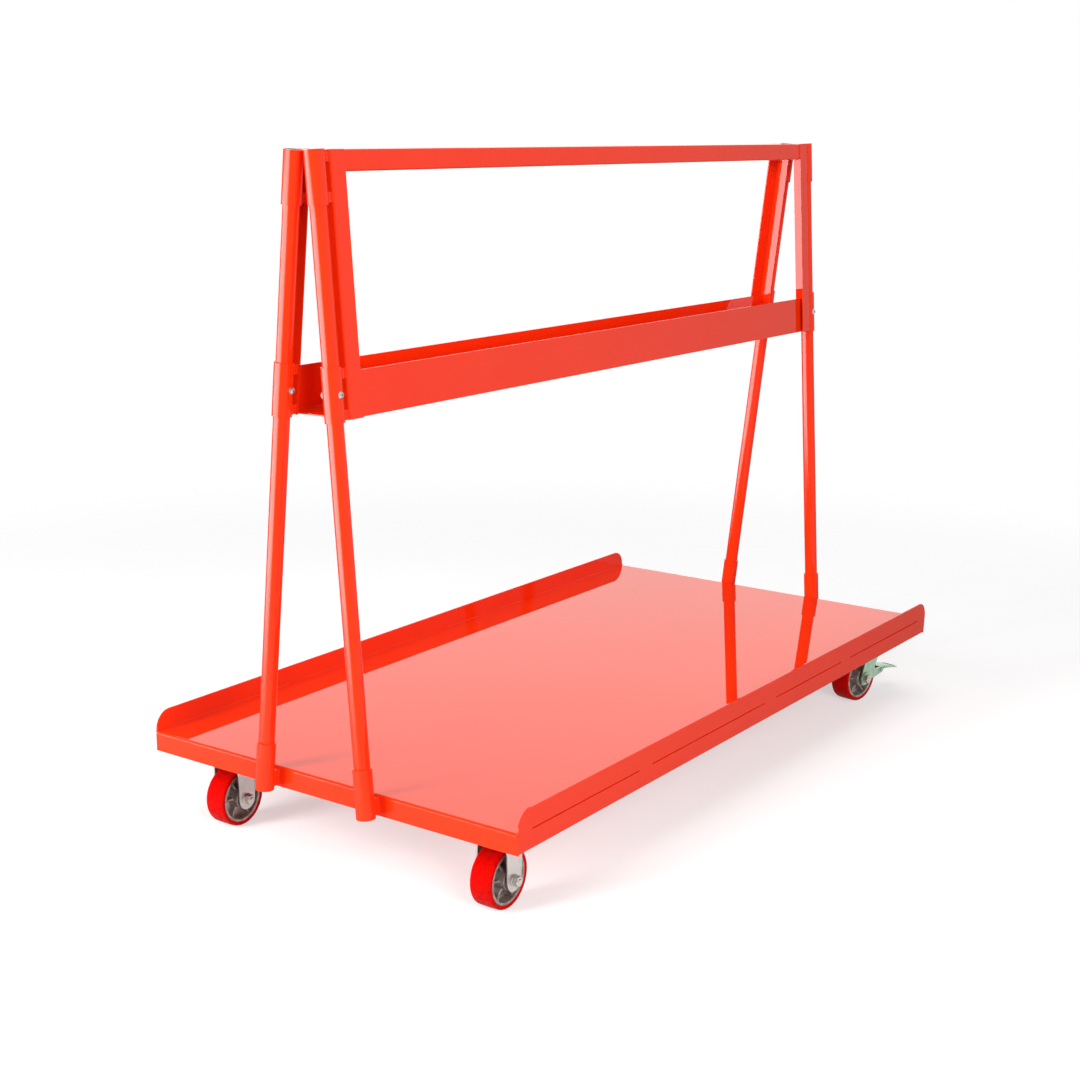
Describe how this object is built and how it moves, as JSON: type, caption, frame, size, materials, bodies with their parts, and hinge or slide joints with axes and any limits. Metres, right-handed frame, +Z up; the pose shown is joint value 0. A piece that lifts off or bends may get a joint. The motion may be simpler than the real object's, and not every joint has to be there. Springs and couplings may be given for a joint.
{
  "type": "rigging gear trolley",
  "caption": "Red A-frame panel trolley: lipped sheet-metal deck on fixed and braked swivel castors, with leaning rack frames on plug-in tube legs.",
  "frame": {"origin": "On the floor under the middle of the deck, which is also the middle of the whole part.", "axes": "+X runs along the deck toward the braked swivel castors, +Y runs across it to the rear side, +Z is up."},
  "size_m": [1.959, 0.92, 1.3897],
  "materials": {
    "red_paint": "gloss powder coat",
    "zinc_plate": "zinc plated",
    "cast_iron": "grey casting, unpainted",
    "bearing_steel": "ground",
    "red_tyre": "satin cast polyurethane",
    "black_plastic": "satin moulded"
  },
  "bodies": {
    "base": {"deck_tray": "red_paint", "front_side_rail": "red_paint", "rear_side_rail": "red_paint", "castor_channel_left": "red_paint", "castor_channel_right": "red_paint", "deck_stiffeners": "red_paint", "leg_sockets": "red_paint", "socket_spacers": "red_paint", "leg_front_left": "red_paint", "leg_front_right": "red_paint", "leg_rear_left": "red_paint", "leg_rear_right": "red_paint", "leg_plugs": "black_plastic", "front_top_rail": "red_paint", "front_kick_rail": "red_paint", "front_upright_left": "red_paint", "front_upright_right": "red_paint", "rear_top_rail": "red_paint", "rear_kick_rail": "red_paint", "rear_upright_left": "red_paint", "rear_upright_right": "red_paint", "trough_floor": "red_paint", "top_sleeves": "red_paint", "middle_sleeves": "red_paint", "sleeve_tabs": "red_paint", "sleeve_bolts": "zinc_plate", "sleeve_nuts": "zinc_plate", "castor_pads": "red_paint", "castor_bolts": "zinc_plate", "castor_nuts": "zinc_plate", "fixed_fork_front": "zinc_plate", "fixed_fork_rear": "zinc_plate", "fixed_axle_bolts": "zinc_plate", "fixed_axle_nuts": "zinc_plate", "fixed_axle_bushes": "zinc_plate", "swivel_plate_front": "zinc_plate", "swivel_plate_rear": "zinc_plate", "kingpins": "zinc_plate"},
    "swivel_front": {"swivel_fork_front": "zinc_plate", "axle_bolt_swivel_front": "zinc_plate", "axle_bush_swivel_front": "zinc_plate", "pedal_pin_front": "zinc_plate"},
    "swivel_rear": {"swivel_fork_rear": "zinc_plate", "axle_bolt_swivel_rear": "zinc_plate", "axle_bush_swivel_rear": "zinc_plate", "pedal_pin_rear": "zinc_plate"},
    "pedal_front": {"brake_pedal_front": "zinc_plate"},
    "pedal_rear": {"brake_pedal_rear": "zinc_plate"},
    "wheel_fixed_front": {"tyre_fixed_front": "red_tyre", "hub_fixed_front": "cast_iron", "bearings_fixed_front": "bearing_steel"},
    "wheel_fixed_rear": {"tyre_fixed_rear": "red_tyre", "hub_fixed_rear": "cast_iron", "bearings_fixed_rear": "bearing_steel"},
    "wheel_swivel_front": {"tyre_swivel_front": "red_tyre", "hub_swivel_front": "cast_iron", "bearings_swivel_front": "bearing_steel"},
    "wheel_swivel_rear": {"tyre_swivel_rear": "red_tyre", "hub_swivel_rear": "cast_iron", "bearings_swivel_rear": "bearing_steel"}
  },
  "joints": [
    {"name": "wheel_fixed_front_spin", "type": "hinge", "parent": "base", "child": "wheel_fixed_front", "pos_m": [-0.822, -0.343, 0.0625], "axis": [0, 1, 0], "continuous": true},
    {"name": "wheel_fixed_rear_spin", "type": "hinge", "parent": "base", "child": "wheel_fixed_rear", "pos_m": [-0.822, 0.343, 0.0625], "axis": [0, 1, 0], "continuous": true},
    {"name": "castor_front_swivel", "type": "hinge", "parent": "base", "child": "swivel_front", "pos_m": [0.822, -0.343, 0.15], "axis": [0, 0, 1], "continuous": true},
    {"name": "wheel_swivel_front_spin", "type": "hinge", "parent": "swivel_front", "child": "wheel_swivel_front", "pos_m": [0.78655, -0.33675, 0.0625], "axis": [0.1736, 0.9848, 0], "continuous": true},
    {"name": "brake_pedal_front_press", "type": "hinge", "parent": "swivel_front", "child": "pedal_front", "pos_m": [0.85942, -0.3496, 0.072], "axis": [0.1736, 0.9848, 0], "range_deg": [0, 14]},
    {"name": "castor_rear_swivel", "type": "hinge", "parent": "base", "child": "swivel_rear", "pos_m": [0.822, 0.343, 0.15], "axis": [0, 0, 1], "continuous": true},
    {"name": "wheel_swivel_rear_spin", "type": "hinge", "parent": "swivel_rear", "child": "wheel_swivel_rear", "pos_m": [0.786, 0.343, 0.0625], "axis": [0, 1, 0], "continuous": true},
    {"name": "brake_pedal_rear_press", "type": "hinge", "parent": "swivel_rear", "child": "pedal_rear", "pos_m": [0.86, 0.343, 0.072], "axis": [0, 1, 0], "range_deg": [0, 14]}
  ]
}
